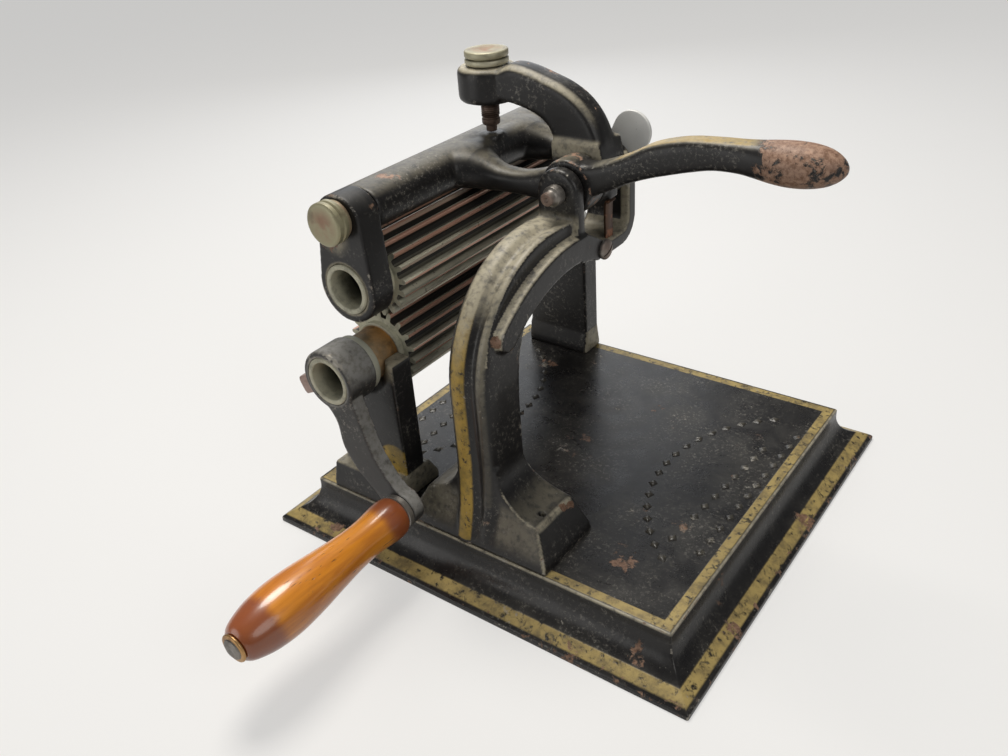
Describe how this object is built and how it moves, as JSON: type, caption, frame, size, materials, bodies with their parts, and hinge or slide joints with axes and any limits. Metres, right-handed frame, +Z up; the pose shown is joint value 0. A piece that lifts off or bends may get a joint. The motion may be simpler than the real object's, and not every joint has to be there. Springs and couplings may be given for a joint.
{
  "type": "fluting iron",
  "caption": "Hand-cranked fluting iron: two hollow fluted rollers on a moulded base, the upper one hung from a lever and pressed down by a screw on a sprung arm.",
  "frame": {"origin": "on the table, under the middle of the whole machine's bounding box", "axes": "+Z up, +X along the base's front edge towards the lever's handle, -Y towards the crank's grip"},
  "size_m": [0.231, 0.3098, 0.2114],
  "materials": {
    "japanned_iron": "worn gloss black japan over cast iron",
    "roller_iron": "machined iron, dulled and browned in the grooves",
    "bare_steel": "bare steel, dull polish",
    "bolt_steel": "dark oiled steel with rust",
    "spring_steel": "browned spring steel",
    "bronze": "tarnished bronze",
    "brass": "dull brass",
    "grip_wood": "varnished amber hardwood"
  },
  "bodies": {
    "frame": {"base_plate": "japanned_iron", "standard": "japanned_iron", "front_post": "japanned_iron", "rear_post": "japanned_iron", "standard_bolts": "bolt_steel", "post_bolts": "bolt_steel", "pivot_pin": "bolt_steel", "pin_finger_plate": "bare_steel", "heel_spring": "spring_steel", "spring_screw": "bolt_steel"},
    "crank": {"lower_roller": "roller_iron", "crank_arm": "japanned_iron", "crank_set_screw": "bolt_steel", "crank_collar": "bare_steel", "rear_collar": "bare_steel", "rear_collar_screw": "bolt_steel", "grip_spindle": "bolt_steel", "grip_washer": "brass"},
    "grip": {"grip": "grip_wood"},
    "lever": {"lever": "japanned_iron", "front_hanger": "japanned_iron", "rear_hanger": "japanned_iron", "hanger_studs": "bolt_steel", "hanger_washers": "bronze", "front_knob_nut": "bronze", "rear_knob_nut": "bronze"},
    "upper_roller": {"upper_roller": "roller_iron"},
    "pressure_arm": {"pressure_arm": "japanned_iron"},
    "pressure_screw": {"pressure_screw": "bolt_steel"},
    "screw_knob": {"screw_knob": "bronze"}
  },
  "joints": [
    {"name": "crank_spin", "type": "hinge", "parent": "frame", "child": "crank", "pos_m": [-0.068, 0.04585, 0.094], "axis": [0, 1, 0], "continuous": true},
    {"name": "grip_spin", "type": "hinge", "parent": "crank", "child": "grip", "pos_m": [-0.0345, -0.10415, 0.0365], "axis": [0, 1, 0], "continuous": true},
    {"name": "lever_lift", "type": "hinge", "parent": "frame", "child": "lever", "pos_m": [-0.0015, 0.06025, 0.162], "axis": [0, 1, 0], "range_deg": [0, 12], "deforming": ["heel_spring"]},
    {"name": "upper_roller_spin", "type": "hinge", "parent": "lever", "child": "upper_roller", "pos_m": [-0.068, 0.04585, 0.1302], "axis": [0, 1, 0], "continuous": true},
    {"name": "arm_swing", "type": "hinge", "parent": "frame", "child": "pressure_arm", "pos_m": [-0.0015, 0.06025, 0.162], "axis": [0, 1, 0], "range_deg": [0, 12.1], "stiffness_Nm_per_rad": 3, "springref_deg": -8.59, "deforming": ["heel_spring"]},
    {"name": "screw_lift", "type": "slide", "parent": "pressure_arm", "child": "pressure_screw", "axis": [0, 0, 1], "range_m": [0, 0.008]},
    {"name": "knob_spin", "type": "hinge", "parent": "pressure_screw", "child": "screw_knob", "pos_m": [-0.0572, 0.06025, 0.208], "axis": [0, 0, 1], "range_deg": [0, 1801.4]}
  ],
  "couplings": [
    {"joint": "upper_roller_spin", "follows": "crank_spin", "ratio": -1},
    {"joint": "arm_swing", "follows": "lever_lift", "ratio": 1},
    {"joint": "knob_spin", "follows": "screw_lift", "rad_per_m": 3927}
  ]
}
